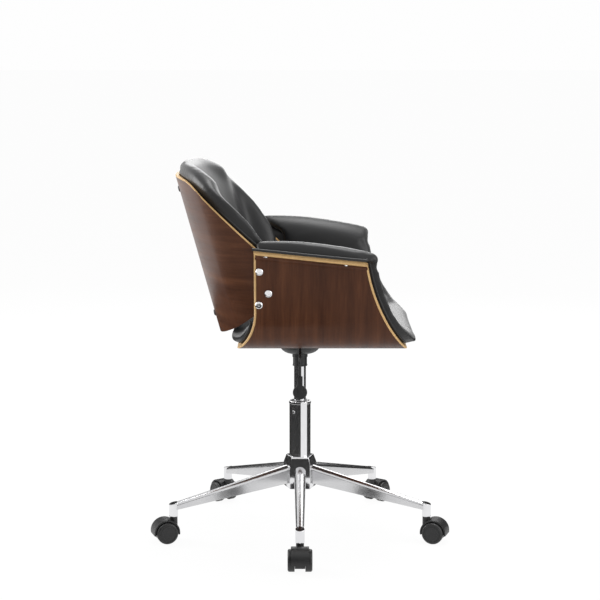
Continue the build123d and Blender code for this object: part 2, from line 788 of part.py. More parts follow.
def back_point(height, inset, segment, share):
    # (x, y) on one half of the wrap: along the rear arc, the corner or the straight side
    half = back_half_width(height)
    bend = back_angle(height)
    reach = (half - back_corner_radius) / sin(bend)
    rear = back_spot(height)
    if segment == "rear":
        r = reach + back_corner_radius
        a = bend * share
        return rear + r - (r - inset) * cos(a), (r - inset) * sin(a)
    start = rear + back_depth
    if segment == "corner":
        a = bend + (pi / 2 - bend) * share
        r = back_corner_radius - inset
        return start - r * cos(a), half - back_corner_radius + r * sin(a)
    end = back_front + trim_margin
    return start + (end - start) * share, half - inset


def back_section(height):
    edges = []
    for inset in (0, back_level_thickness):
        left = [back_point(height, inset, s, f) for s, f in
                (("rear", 0), ("rear", 1), ("corner", 0.5), ("corner", 1), ("side", 1))]
        p = {side: [(x, side * y, height) for x, y in left] for side in (-1, 1)}
        edges.append(ThreePointArc(p[-1][1], p[1][0], p[1][1]))
        for side in (-1, 1):
            edges.append(ThreePointArc(p[side][1], p[side][2], p[side][3]))
            edges.append(Line(p[side][3], p[side][4]))
    for side in (-1, 1):
        ends = [back_point(height, inset, "side", 1) for inset in (0, back_level_thickness)]
        edges.append(Line(*[(x, side * y, height) for x, y in ends]))
    return make_face(edges)


def back_edge_top(x):
    # Height of the sloping top edge at x
    return arm_rear_height + back_meets_arm + (shell_rear - x) * tan(radians(back_top_fall))


def back_edge_bottom(x):
    return back_bottom + (x - back_bottom_rear) * back_bottom_slope


def back_outline():
    far = back_top_rear - trim_margin
    front = back_front
    corner = shell_rear - (back_top - arm_rear_height - back_meets_arm) / tan(radians(back_top_fall))
    outline = make_face(Polyline(
        (far, 0, back_bottom), (far, 0, back_top), (corner, 0, back_top), (front, 0, back_edge_top(front)),
        (front, 0, back_edge_bottom(front)), (back_bottom_rear, 0, back_bottom), close=True))
    spot = Vector(corner, 0, back_top)
    return fillet(outline.vertices().sort_by_distance(spot)[0], back_top_rounding)


def back_shell():
    low = back_bottom - trim_margin
    high = back_top + trim_margin
    form = loft([back_section(low), back_section(high)], ruled=True)
    form = form & extrude(back_outline(), shell_width, dir=(0, 1, 0), both=True)
    cuts = holes(arm_bolt_spots(), arm_nut_diameter + 2 * fit_gap, 2 * shell_thickness + 2 * back_thickness)
    cuts += holes(back_screw_spots(), back_screw_diameter + 2 * fit_gap, 2 * back_thickness)
    for cut in cuts:
        form -= cut
    return form


# Upholstery: each pad is a row of sections with a flat underside, rolled ends and a crowned top

def pad_section(place, thickness, start, end, start_roll, end_roll, shoulder):
    # Place is an origin, a direction along the underside and its normal;
    # a roll is its foot, waist and length as shares of the thickness
    def spot(length, lift):
        return place[0] + place[1] * length + place[2] * (lift * thickness)
    foot, waist, roll = start_roll
    start_points = [spot(start + foot * thickness, 0), spot(start, waist),
                    spot(start + roll * thickness, shoulder)]
    foot, waist, roll = end_roll
    end_points = [spot(end - foot * thickness, 0), spot(end, waist),
                  spot(end - roll * thickness, shoulder)]
    edges = [
        Line(start_points[0], end_points[0]),
        ThreePointArc(*end_points),
        ThreePointArc(end_points[2], spot((start + end) / 2, 1), start_points[2]),
        ThreePointArc(*reversed(start_points)),
    ]
    return make_face(edges)


def pad_loft(section, stations):
    # Stations run from the middle to one side, and the other side mirrors them
    sections = [section(*station, -1) for station in reversed(stations[1:])]
    sections += [section(*station, 1) for station in stations]
    return loft(sections)


def liner_spot(x, segment, share):
    # A point under the liner, and the angle there: 0 on the seat, nearly upright on the sides
    lift = shell_thickness / 2 + soft_gap
    points = half_curve(lift, wall_length_at(x))
    if segment == "seat":
        return Vector(x, points[0][0] * share, points[0][1]), 0.0
    if segment == "bend":
        a = turn * share
        y = points[0][0] + (bend_radius - lift) * sin(a)
        return Vector(x, y, points[0][1] + (bend_radius - lift) * (1 - cos(a))), a
    if segment == "flare":
        a = turn + (rise - turn) * share
        y, z = points[5]
        r = flare_radius + lift
        return Vector(x, y + r * (sin(rise) - sin(a)), z + r * (cos(a) - cos(rise))), a
    foot, head, a = (points[2], points[3], turn) if segment == "side" else (points[5], points[6], rise)
    return Vector(x, mix(foot[0], head[0], share), mix(foot[1], head[1], share)), a


def liner_back(segment, share):
    # x of the liner's back end: past the seat's back edge, ahead of the back shell,
    # level with the arms' back edge
    arm_start = shell_rear + arm_pad_inset
    beside_back = back_front + pad_seam_gap
    if segment == "flange":
        return arm_start + arm_pad_corner * share ** 2 / 2
    if segment == "flare":
        return mix(beside_back, arm_start, ease(share))
    spot, a = liner_spot(back_front, segment, share)
    past_seat = rear_edge(spot.Z - (shell_thickness + soft_gap) * cos(a)) - seat_pad_rear_overhang
    under_back = back_bottom_rear + (spot.Z + pad_seam_gap - back_bottom) / back_bottom_slope
    return soft_min(-soft_min(-past_seat, -under_back, pad_edge_blend), beside_back, pad_edge_blend)


def seat_share(segment, share):
    # 1 on the seat, falling to 0 up the sides
    if segment in ("flare", "flange"):
        return 0
    return cos(liner_spot(shell_front, segment, share)[1]) ** 2


def liner_front(segment, share):
    # x of the liner's front roll
    if segment in ("flare", "flange"):
        drawn_in = arm_pad_corner * share ** 2 if segment == "flange" else 0
        return shell_front + arm_pad_overhang - drawn_in
    spot, a = liner_spot(shell_front, segment, share)
    overhang = mix(arm_pad_overhang, seat_pad_overhang, seat_share(segment, share))
    return front_edge(spot.Z - (shell_thickness + soft_gap) * cos(a)) + overhang


def liner_front_roll(segment, share):
    sides = (front_foot, front_waist, front_roll)
    seat = (seat_front_foot, seat_front_waist, seat_front_roll)
    return [mix(a, b, seat_share(segment, share)) for a, b in zip(sides, seat)]


def liner_thickness(segment, share):
    if segment == "flange":
        return mix(arm_edge_thickness, arm_crest_thickness, sqrt(1 - share ** 2))
    if segment == "flare":
        return mix(side_pad_thickness, arm_crest_thickness, share)
    return mix(side_pad_thickness, seat_pad_thickness, seat_share(segment, share))


def liner_shoulder(segment, share):
    if segment == "flange":
        return arm_shoulder
    return mix(pad_shoulder, arm_shoulder, ease(share)) if segment == "flare" else pad_shoulder


def liner_section(segment, share, side):
    rear, a = liner_spot(section_rear, segment, share)
    front, a = liner_spot(section_front, segment, share)
    along = (front - rear).normalized()
    normal = Vector(0, -sin(a), cos(a))
    normal = (normal - along * normal.dot(along)).normalized()
    origin = rear - along * (section_rear / along.X)
    origin, along, normal = [Vector(v.X, side * v.Y, v.Z) for v in (origin, along, normal)]
    start = liner_back(segment, share) / along.X
    end = liner_front(segment, share) / along.X
    rolls = ((pad_foot, pad_waist, pad_roll), liner_front_roll(segment, share))
    thickness = liner_thickness(segment, share)
    return pad_section((origin, along, normal), thickness, start, end, *rolls, liner_shoulder(segment, share))


def seat_pad():
    rows = (("seat", 4), ("bend", 6), ("side", 5), ("flare", 5), ("flange", 3))
    stations = [("seat", 0)] + [(segment, i / n) for segment, n in rows for i in range(1, n + 1)]
    pad = pad_loft(liner_section, stations)
    depth = shell_thickness + soft_gap + face_gap
    cuts = holes(seat_screw_spots(), seat_screw_diameter + 2 * fit_gap, depth + seat_screw_bite)
    cuts += holes(arm_screw_spots(), arm_screw_diameter + 2 * fit_gap, depth + arm_screw_bite)
    for cut in cuts:
        pad -= cut
    return pad


def back_line(segment, share, side):
    # A straight line up the inside of the back: its point below the bottom edge, and its direction
    inset = back_level_thickness + soft_gap
    low = back_bottom - trim_margin
    high = back_top + trim_margin
    ends = [Vector(*back_point(z, inset, segment, share), z) for z in (low, high)]
    ends = [Vector(v.X, side * v.Y, v.Z) for v in ends]
    return ends[0], (ends[1] - ends[0]).normalized()


def back_pad_thickness_at(segment, share):
    if segment == "rear":
        return back_pad_thickness
    if segment == "corner":
        return mix(back_pad_thickness, back_side_pad_thickness, ease(share))
    return mix(back_side_pad_thickness, back_edge_thickness, (share / back_pad_side_share) ** 2)


def back_pad_end(spot, along, segment, share):
    # How far a line up the pad runs to its top edge, which stands proud and fades into the arms
    fade = share / (back_pad_side_share * back_pad_taper) if segment == "side" else 0
    proud = back_pad_proud * (1 - fade ** 2)
    fall = radians(back_top_fall)
    slope_end = (back_edge_top(spot.X) + proud / cos(fall) - spot.Z) / (along.Z + along.X * tan(fall))
    level_end = (back_top + proud - spot.Z) / along.Z
    return soft_min(slope_end, level_end, back_pad_rounding)


def back_pad_section(segment, share, side):
    origin, along = back_line(segment, share, side)
    bend = back_angle(back_top)
    a = {"rear": bend * share, "corner": mix(bend, pi / 2, share), "side": pi / 2}[segment]
    path = Vector(sin(a), side * cos(a), 0)
    normal = path.cross(along).normalized() * side
    thickness = back_pad_thickness_at(segment, share)
    # where the line crosses the raised bottom edge
    rise_rate = back_bottom_slope * back_pad_rise
    bottom = back_bottom + back_pad_raise + (origin.X - back_bottom_rear) * rise_rate
    start = (bottom - origin.Z) / (along.Z - along.X * rise_rate)
    end = back_pad_end(origin + normal * (pad_waist * thickness), along, segment, share)
    shoulder_end = back_pad_end(origin + normal * (pad_shoulder * thickness), along, segment, share)
    top_roll = (pad_foot, pad_waist, pad_roll + (end - shoulder_end) / thickness)
    rolls = ((pad_foot, pad_waist, pad_roll), top_roll)
    return pad_section((origin, along, normal), thickness, start, end, *rolls, pad_shoulder)


def back_pad():
    rows = (("rear", 8, 1), ("corner", 6, 1), ("side", 4, back_pad_side_share))
    stations = [("rear", 0)]
    stations += [(segment, reach * i / n) for segment, n, reach in rows for i in range(1, n + 1)]
    pad = pad_loft(back_pad_section, stations)
    depth = back_thickness + soft_gap + back_screw_bite + face_gap
    for cut in holes(back_screw_spots(), back_screw_diameter + 2 * fit_gap, depth):
        pad -= cut
    return pad


# Fasteners

def arm_bolts():
    length = shell_thickness + face_gap + back_thickness - thread_short
    bolt = pan_head_screw(arm_bolt_head, arm_bolt_head_height, arm_bolt_diameter, length)
    key = extrude(RegularPolygon(arm_bolt_key / 2, 6), arm_bolt_head_height)
    bolt -= Pos(0, 0, arm_bolt_head_height / 2) * key
    return [spot * bolt for spot in arm_bolt_spots()]


def arm_nuts():
    end = shell_thickness + face_gap + back_thickness
    nut = ring(arm_nut_diameter, arm_bolt_diameter + 2 * fit_gap, -end, arm_nut_length - end)
    return [spot * nut for spot in arm_bolt_spots()]


def arm_pad_screws():
    length = shell_thickness + soft_gap + arm_screw_bite
    screw = pan_head_screw(arm_screw_head, arm_screw_head_height, arm_screw_diameter, length)
    return [spot * Pos(0, 0, 2 * fit_gap) * screw for spot in arm_screw_spots()]


def back_pad_screws():
    length = back_thickness + soft_gap + back_screw_bite
    screw = pan_head_screw(back_screw_head, back_screw_head_height, back_screw_diameter, length)
    return [spot * Pos(0, 0, 2 * fit_gap) * screw for spot in back_screw_spots()]


def seat_pad_screws():
    length = shell_thickness + soft_gap + seat_screw_bite
    screw = pan_head_screw(seat_screw_head, seat_screw_head_height, seat_screw_diameter, length)
    return [spot * screw for spot in seat_screw_spots()]


def save(name, shape):
    if isinstance(shape, list):
        shape = Compound(children=shape)
    export_step(shape, "parts/" + name + ".step")


os.makedirs("parts", exist_ok=True)
save("base_hub", base_hub())
socket = caster_socket()
save("caster_sockets", [Rot(0, 0, angle) * socket for angle in leg_angles])
leg = base_leg()
caster = {"hood": caster_hood(), "stem": caster_stem(), "axle": caster_axle(),
          "wheel_left": caster_wheel(1), "wheel_right": caster_wheel(-1)}
for number, angle in enumerate(leg_angles, 1):
    save("base_leg_%d" % number, Rot(0, 0, angle) * leg)
    for name, solid in caster.items():
        save("caster_%d_%s" % (number, name), on_leg(solid, angle))
pieces = [
    outer_tube, guide_bush, bush_rivet, end_plate, thrust_bearing, piston_rod, retaining_clip, piston,
    gas_cylinder, cylinder_guide, cylinder_sleeve, valve_pin, taper_socket, mechanism_cup, seat_plate,
    plate_bolts, lever_pin, lever_rod, lever_paddle, seat_shell, back_shell, seat_pad, back_pad,
    arm_bolts, arm_nuts, arm_pad_screws, back_pad_screws, seat_pad_screws,
]
for piece in pieces:
    save(piece.__name__, piece())
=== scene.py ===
import json
from math import cos, radians, sin
import bpy
import bmesh
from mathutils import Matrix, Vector
from mathutils.bvhtree import BVHTree


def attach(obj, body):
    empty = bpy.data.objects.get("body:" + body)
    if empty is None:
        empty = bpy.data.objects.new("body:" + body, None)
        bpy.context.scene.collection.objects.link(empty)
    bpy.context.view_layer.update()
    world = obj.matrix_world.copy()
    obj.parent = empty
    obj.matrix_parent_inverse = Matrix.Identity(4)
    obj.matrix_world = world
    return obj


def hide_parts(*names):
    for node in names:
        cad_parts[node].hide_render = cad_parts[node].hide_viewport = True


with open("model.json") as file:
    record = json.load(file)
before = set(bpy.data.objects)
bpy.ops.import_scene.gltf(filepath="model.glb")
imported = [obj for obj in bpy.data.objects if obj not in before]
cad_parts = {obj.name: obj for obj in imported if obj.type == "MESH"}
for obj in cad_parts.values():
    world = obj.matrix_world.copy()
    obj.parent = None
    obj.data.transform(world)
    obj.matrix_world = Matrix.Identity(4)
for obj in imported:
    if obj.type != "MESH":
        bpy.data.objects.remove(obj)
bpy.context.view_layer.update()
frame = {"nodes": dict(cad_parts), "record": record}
nodes = frame["nodes"]
bodyOf = {node: body for body, members in frame["record"]["behaviour"]["bodies"].items() for node in members}
slotOf = {entry["node"]: entry["material_slot"] for entry in frame["record"]["subparts"]}
print("frame loaded with", len(nodes), "nodes")


# shader sockets as numbers

class Value:
    def __init__(self, finish, socket):
        self.finish = finish
        self.socket = socket

    def math(self, operation, a, b):
        return self.finish.make("ShaderNodeMath", {"operation": operation}, {0: a, 1: b})

    def __add__(self, other):
        return self.math("ADD", self, other)

    def __radd__(self, other):
        return self.math("ADD", other, self)

    def __sub__(self, other):
        return self.math("SUBTRACT", self, other)

    def __rsub__(self, other):
        return self.math("SUBTRACT", other, self)

    def __mul__(self, other):
        return self.math("MULTIPLY", self, other)

    def __rmul__(self, other):
        return self.math("MULTIPLY", other, self)


class Finish:
    def __init__(self, name, **look):
        self.material = bpy.data.materials.new(name)
        self.material.use_nodes = True
        self.tree = self.material.node_tree
        self.shader = self.tree.nodes["Principled BSDF"]
        for socket, value in look.items():
            self.shader.inputs[socket.replace("_", " ")].default_value = value
        self.place = self.make("ShaderNodeTexCoord", {}, {}, "Object")

    def make(self, kind, settings, sockets, out=0):
        node = self.tree.nodes.new(kind)
        for key, value in settings.items():
            if key == "stops":
                ramp = node.color_ramp
                while len(ramp.elements) < len(value):
                    ramp.elements.new(1.0)
                for element, (position, colour) in zip(ramp.elements, value):
                    element.position = position
                    element.color = (*colour, 1.0)
            else:
                setattr(node, key, value)
        for key, value in sockets.items():
            if isinstance(value, Value):
                self.tree.links.new(value.socket, node.inputs[key])
            else:
                node.inputs[key].default_value = value
        return Value(self, node.outputs[out])

    def stretch(self, scale):
        return self.make("ShaderNodeMapping", {}, {"Vector": self.place, "Scale": scale})

    def noise(self, scale, detail=3.0, vector=None):
        sockets = {"Vector": vector or self.place, "Scale": scale, "Detail": detail}
        return self.make("ShaderNodeTexNoise", {}, sockets)

    def ramp(self, value, *stops):
        return self.make("ShaderNodeValToRGB", {"stops": stops}, {"Fac": value})

    def bump(self, height, strength, distance):
        return self.make("ShaderNodeBump", {}, {"Height": height, "Strength": strength, "Distance": distance})

    def feed(self, **links):
        for socket, value in links.items():
            self.tree.links.new(value.socket, self.shader.inputs[socket.replace("_", " ")])
        return self


# finishes

walnutLook = {
    "dark": (0.036, 0.0112, 0.0044),
    "middle": (0.070, 0.0235, 0.0092),
    "light": (0.122, 0.0450, 0.0180),
    "figure": 9.0,
    "pores": 52.0,
    "wander": 3.2,
}


def walnut(name, grainScale):
    look = walnutLook
    finish = Finish(name, Coat_Weight=0.04, Coat_Roughness=0.14, Specular_IOR_Level=0.16)
    grain = finish.stretch(grainScale)
    wander = finish.noise(look["wander"], 2.0)
    figure = finish.noise(look["figure"], 4.0, grain)
    pores = finish.noise(look["pores"], 4.0, grain)
    tone = figure * 0.50 + pores * 0.22 + wander * 0.28
    colour = finish.ramp(tone, (0.34, look["dark"]), (0.52, look["middle"]), (0.72, look["light"]))
    rough = pores * 0.16 + 0.26
    return finish.feed(Base_Color=colour, Roughness=rough, Normal=finish.bump(pores, 0.08, 0.0003))


plyLook = {
    "dark": (0.300, 0.165, 0.066),
    "middle": (0.500, 0.315, 0.130),
    "light": (0.630, 0.430, 0.205),
    "turns": 31.4,  # five veneers, as radians of a sine
    "fibre": 160.0,
}


def plyEdge():
    look = plyLook
    finish = Finish("plyEdge", Specular_IOR_Level=0.3)
    layer = finish.make("ShaderNodeAttribute", {"attribute_name": "plyLayer"}, {}, "Fac")
    stripes = finish.make("ShaderNodeMath", {"operation": "SINE"}, {0: layer * look["turns"]})
    fibre = finish.noise(look["fibre"], 3.0)
    tone = stripes * 0.20 + fibre * 0.45 + 0.28
    colour = finish.ramp(tone, (0.15, look["dark"]), (0.50, look["middle"]), (0.85, look["light"]))
    rough = fibre * 0.2 + 0.42
    return finish.feed(Base_Color=colour, Roughness=rough, Normal=finish.bump(stripes, 0.12, 0.0003))


leatherLook = {
    "dark": (0.0095, 0.0095, 0.0100),
    "light": (0.0165, 0.0165, 0.0170),
    "broad": 9.0,
}


def leather(name, scale):
    look = leatherLook
    finish = Finish(name, Specular_IOR_Level=0.32, Sheen_Weight=0.04, Sheen_Roughness=0.45)
    cells = finish.make("ShaderNodeTexVoronoi", {"feature": "SMOOTH_F1"},
                        {"Vector": finish.place, "Scale": scale})
    fine = finish.noise(scale * 2.4, 2.0)
    broad = finish.noise(look["broad"], 3.0)
    height = cells * 0.75 + fine * 0.25
    colour = finish.ramp(broad * 0.7 + fine * 0.3, (0.3, look["dark"]), (0.7, look["light"]))
    rough = broad * 0.12 + cells * 0.10 + 0.30
    return finish.feed(Base_Color=colour, Roughness=rough, Normal=finish.bump(height, 0.16, 0.0005))


def chrome(name, rough, pale):
    finish = Finish(name, Metallic=1.0)
    smear = finish.noise(26.0, 4.0)
    colour = finish.ramp(smear, (0.3, (pale, pale, pale * 1.02)),
                         (0.7, (pale * 1.09, pale * 1.09, pale * 1.10)))
    return finish.feed(Base_Color=colour, Roughness=smear * 0.05 + rough)


def plainDark(name, rough, grain, depth, light):
    finish = Finish(name, Specular_IOR_Level=0.5)
    speckle = finish.noise(grain, 3.0)
    haze = finish.noise(14.0, 2.0)
    colour = finish.ramp(haze * 0.6 + speckle * 0.4, (0.3, (light, light, light * 1.03)),
                         (0.7, (light * 1.7, light * 1.7, light * 1.75)))
    return finish.feed(Base_Color=colour, Roughness=speckle * 0.12 + rough,
                       Normal=finish.bump(speckle, 0.2, depth))


def steel():
    finish = Finish("steel", Metallic=1.0)
    streak = finish.noise(30.0, 4.0, finish.stretch((6.0, 6.0, 0.4)))
    colour = finish.ramp(streak, (0.3, (0.42, 0.42, 0.43)), (0.7, (0.60, 0.60, 0.61)))
    return finish.feed(Base_Color=colour, Roughness=streak * 0.15 + 0.22)


finishes = {
    "walnutSeat": walnut("walnutSeat", (5.5, 0.42, 0.42)),
    "walnutBack": walnut("walnutBack", (0.42, 0.42, 5.5)),
    "plyEdge": plyEdge(),
    "leather": leather("leather", 620.0),
    "piping": leather("pipingLeather", 900.0),
    "chrome": chrome("chrome", 0.03, 0.74),
    "chromeLegs": chrome("chromeLegs", 0.15, 0.62),
    "black_plastic": plainDark("blackPlastic", 0.38, 700.0, 0.0002, 0.0095),
    "black_metal": plainDark("blackMetal", 0.34, 420.0, 0.0003, 0.0100),
    "steel": steel(),
}
print("finishes made:", len(finishes))


# pieces

merging = {"distance": 2e-6, "sliver": 1e-6}


def mergedCopy(node, flat=0.4):
    bm = bmesh.new()
    bm.from_mesh(nodes[node].data)
    bmesh.ops.remove_doubles(bm, verts=bm.verts, dist=merging["distance"])
    bmesh.ops.dissolve_degenerate(bm, dist=merging["sliver"], edges=bm.edges)
    bmesh.ops.dissolve_limit(bm, angle_limit=radians(flat), verts=bm.verts, edges=bm.edges)
    bm.normal_update()
    return bm


def sharpEdges(bm, angle):
    return [e for e in bm.edges if len(e.link_faces) == 2 and e.calc_face_angle(0.0) > radians(angle)]


def roundEdges(bm, edges, width, segments, clamp=True):
    return bmesh.ops.bevel(bm, geom=edges, offset=width, offset_type="OFFSET", segments=segments, profile=0.5,
                           affect="EDGES", material=-1, clamp_overlap=clamp)


def place(name, mesh, looks, body, slot, replaced=()):
    for look in looks:
        mesh.materials.append(finishes[look].material)
    piece = bpy.data.objects.new(name, mesh)
    bpy.context.scene.collection.objects.link(piece)
    if replaced:
        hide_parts(*replaced)
    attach(piece, body)
    return piece


def toMesh(bm, name, sharp=34.0):
    for face in bm.faces:
        face.smooth = True
    for edge in bm.edges:
        edge.smooth = not (len(edge.link_faces) == 2 and edge.calc_face_angle(0.0) > radians(sharp))
    mesh = bpy.data.meshes.new(name)
    bm.to_mesh(mesh)
    bm.free()
    return mesh


hardware = {"bevel": 0.0007, "segments": 2, "corner": 28.0}


def dressHardware(node):
    bm = mergedCopy(node)
    roundEdges(bm, sharpEdges(bm, hardware["corner"]), hardware["bevel"], hardware["segments"])
    slot = slotOf[node]
    look = "chromeLegs" if node.startswith("base_leg") else slot
    piece = place(node + "_piece", toMesh(bm, node + "_piece"), [look], bodyOf[node], slot, [node])
    soften = piece.modifiers.new("faceNormals", "WEIGHTED_NORMAL")
    soften.keep_sharp = True
    return piece


shownHardware = [n for n in nodes if slotOf[n] not in ("walnut", "leather")]
for node in sorted(shownHardware):
    dressHardware(node)
print("hardware dressed:", len(shownHardware))


# plywood shells

shellLook = {
    "segments": 4,
    "holeSize": 0.03,
    "seatRound": 0.0048,
    "backRound": 0.0030,
}
# how far a face turns to count as sawn, and where the piping stops
sawn = {"seatFront": 0.45, "armTop": 0.287, "armTopTurn": 0.9, "backTop": 0.5}
piped = {"rearTurn": -0.4, "rearHeight": 0.545, "backTop": 0.5, "backFront": -0.100}


def islands(faces):
    left = set(faces)
    while left:
        island = {left.pop()}
        queue = list(island)
        while queue:
            for edge in queue.pop().edges:
                for other in edge.link_faces:
                    if other in left:
                        left.remove(other)
                        island.add(other)
                        queue.append(other)
        yield island


def islandSize(island):
    points = [v.co for f in island for v in f.verts]
    return max(max(p[i] for p in points) - min(p[i] for p in points) for i in range(3))


def cutFaces(bm, isCut):
    # the sawn edges of a shell, without the walls of its screw holes
    found = set()
    for island in islands([f for f in bm.faces if isCut(f)]):
        if islandSize(island) > shellLook["holeSize"]:
            found |= island
    return found


def innerFace(face, centre):
    return face.normal.dot(centre(face.calc_center_median()) - face.calc_center_median()) > 0


def chains(edges):
    # rows of points, walked from end to end, which later take the two normals that meet there
    links = {}
    for edge in edges:
        for vert in edge.verts:
            links.setdefault(vert, []).append(edge)
    left = set(edges)
    while left:
        ends = [v for v in links if sum(e in left for e in links[v]) == 1]
        starts = ends or [v for e in left for v in e.verts]
        vert = min(starts, key=lambda v: v.index)
        row = [vert]
        while True:
            onward = [e for e in links[vert] if e in left]
            if not onward:
                break
            left.remove(onward[0])
            vert = onward[0].other_vert(vert)
            row.append(vert)
        yield row


def rowNormals(vert, cut, inside):
    outward = sum((f.normal for f in vert.link_faces if f in cut), Vector())
    inward = sum((f.normal for f in vert.link_faces if f in inside), Vector())
    return outward.normalized(), inward.normalized()


def makeShell(node, look, edgeRound, isCut, centre, wantPiping):
    bm = mergedCopy(node)
    cut = cutFaces(bm, isCut)
    inside = {f for f in bm.faces if f not in cut and innerFace(f, centre)}
    seam = [e for e in bm.edges if sum(f in cut for f in e.link_faces) == 1]
    inner = [e for e in seam if any(f in inside for f in e.link_faces) and wantPiping(e, cut)]
    bm.verts.index_update()
    rows = []
    for row in chains(inner):
        rows.append([(v.co.copy(), *rowNormals(v, cut, inside)) for v in row])
    layer = bm.verts.layers.float.new("plyLayer")
    for face in cut:
        for vert in face.verts:
            vert[layer] = 1.0 if any(f in inside for f in vert.link_faces) else 0.0
    for face in cut:
        face.material_index = 1
    for face in inside:  # lined in black, as behind the pads
        face.material_index = 2
    made = roundEdges(bm, seam, edgeRound, shellLook["segments"], False)
    for face in made["faces"]:
        face.material_index = 1
    looks = [look, "plyEdge", "leather"]
    piece = place(node + "_piece", toMesh(bm, node + "_piece"), looks, "seat", "walnut", [node])
    soften = piece.modifiers.new("faceNormals", "WEIGHTED_NORMAL")
    soften.keep_sharp = True
    return rows


def seatCut(face):
    isFront = abs(face.normal.x) > sawn["seatFront"]
    isAtSide = abs(face.calc_center_median().y) > sawn["armTop"]
    return isFront or (isAtSide and abs(face.normal.y) > sawn["armTopTurn"])


# only the top and sloping sawn edges of the back take the ply edge colour; its sawn bottom edge keeps the
# darker walnut as painted shade, where shade falls between the back and the seat
def backCut(face):
    return face.normal.z > sawn["backTop"]


def seatPipe(edge, cut):
    normal = next(f.normal for f in edge.link_faces if f in cut)
    return normal.x > piped["rearTurn"] or max(v.co.z for v in edge.verts) < piped["rearHeight"]


def backPipe(edge, cut):
    normal = next(f.normal for f in edge.link_faces if f in cut)
    return normal.z > piped["backTop"] and min(v.co.x for v in edge.verts) < piped["backFront"]


def aboveSeat(point):
    return Vector((point.x, 0.0, 1.0))


def beforeBack(point):
    return Vector((0.1, 0.0, point.z))


seatRows = makeShell("seat_shell", "walnutSeat", shellLook["seatRound"], seatCut, aboveSeat, seatPipe)
backRows = makeShell("back_shell", "walnutBack", shellLook["backRound"], backCut, beforeBack, backPipe)
print("shells made, piping rows:", [len(r) for r in seatRows], [len(r) for r in backRows])


# pads

seatLiner = {"voxel": 0.005, "shrink": 0.0010, "pressure": 3.0, "cap": 0.0030, "even": 6, "fill": 0.75}
backPad = {"voxel": 0.005, "shrink": 0.0005, "pressure": 2.0, "cap": 0.0018, "even": 45, "fill": 0.8}
cover = {"quality": 6, "mass": 0.25, "stretch": 22.0, "bending": 1.2, "frames": 20}
heldWithin = 0.0035  # the underside within this reach of its shell stays put


def evaluatedMesh(piece):
    graph = bpy.context.evaluated_depsgraph_get()
    return bpy.data.meshes.new_from_object(piece.evaluated_get(graph))


def blownUp(piece, settings, held):
    # swells the cover by air pressure with its underside held, and caps how far a point goes
    group = piece.vertex_groups.new(name="held")
    group.add(held, 1.0, "REPLACE")
    cloth = piece.modifiers.new("cover", "CLOTH")
    cloth.settings.quality = cover["quality"]
    cloth.settings.mass = cover["mass"]
    cloth.settings.tension_stiffness = cover["stretch"]
    cloth.settings.compression_stiffness = cover["stretch"]
    cloth.settings.bending_stiffness = cover["bending"]
    cloth.settings.use_pressure = True
    cloth.settings.uniform_pressure_force = settings["pressure"]
    cloth.settings.vertex_group_mass = "held"
    cloth.settings.effector_weights.gravity = 0.0
    cloth.collision_settings.use_collision = False
    scene = bpy.context.scene
    for frameNumber in range(1, cover["frames"] + 1):
        scene.frame_set(frameNumber)
    before = [v.co.copy() for v in piece.data.vertices]
    swollen = evaluatedMesh(piece)
    after = [v.co.copy() for v in swollen.vertices]
    piece.modifiers.remove(cloth)
    scene.frame_set(1)
    for vert, start, end in zip(piece.data.vertices, before, after):
        move = end - start
        reach = min(move.length, settings["cap"])
        vert.co = start + (move.normalized() * reach if move.length > 0 else move)
    bpy.data.meshes.remove(swollen)


def makePad(node, name, settings, shells):
    bm = mergedCopy(node, 0.05)
    mesh = bpy.data.meshes.new(name)
    bm.to_mesh(mesh)
    bm.free()
    piece = place(name, mesh, ["leather"], "seat", "leather", [node])
    remesh = piece.modifiers.new("skin", "REMESH")
    remesh.mode = "VOXEL"
    remesh.voxel_size = settings["voxel"]
    skin = evaluatedMesh(piece)
    piece.modifiers.remove(remesh)
    piece.data = skin
    trees = []
    for shell in shells:
        copy = mergedCopy(shell)
        trees.append(BVHTree.FromBMesh(copy))
        copy.free()
    held = []
    normals = [v.normal.copy() for v in skin.vertices]
    for vert, normal in zip(skin.vertices, normals):
        near = min(tree.find_nearest(vert.co)[3] for tree in trees)
        if near < heldWithin:
            held.append(vert.index)
        else:
            vert.co -= normal * settings["shrink"]
    underside = set(held)
    free = piece.vertex_groups.new(name="free")
    free.add([v.index for v in skin.vertices if v.index not in underside], 1.0, "REPLACE")
    blownUp(piece, settings, held)
    for polygon in piece.data.polygons:
        polygon.use_smooth = True
    smooth = piece.modifiers.new("evenOut", "SMOOTH")  # the underside isn't in the free group
    smooth.factor = 0.5
    smooth.iterations = settings["even"]
    smooth.vertex_group = "free"
    finer = piece.modifiers.new("finer", "SUBSURF")
    finer.levels = 1
    finer.render_levels = 1
    print(name, "has", len(piece.data.vertices), "points,", len(held), "held")
    return piece


makePad("seat_pad", "seat_liner", seatLiner, ["seat_shell"])
makePad("back_pad", "back_cushion", backPad, ["back_shell"])


# piping

piping = {"radius": 0.0032, "ahead": 0.0048, "lift": 0.0010, "sides": 4, "spacing": 0.004, "fewest": 4}


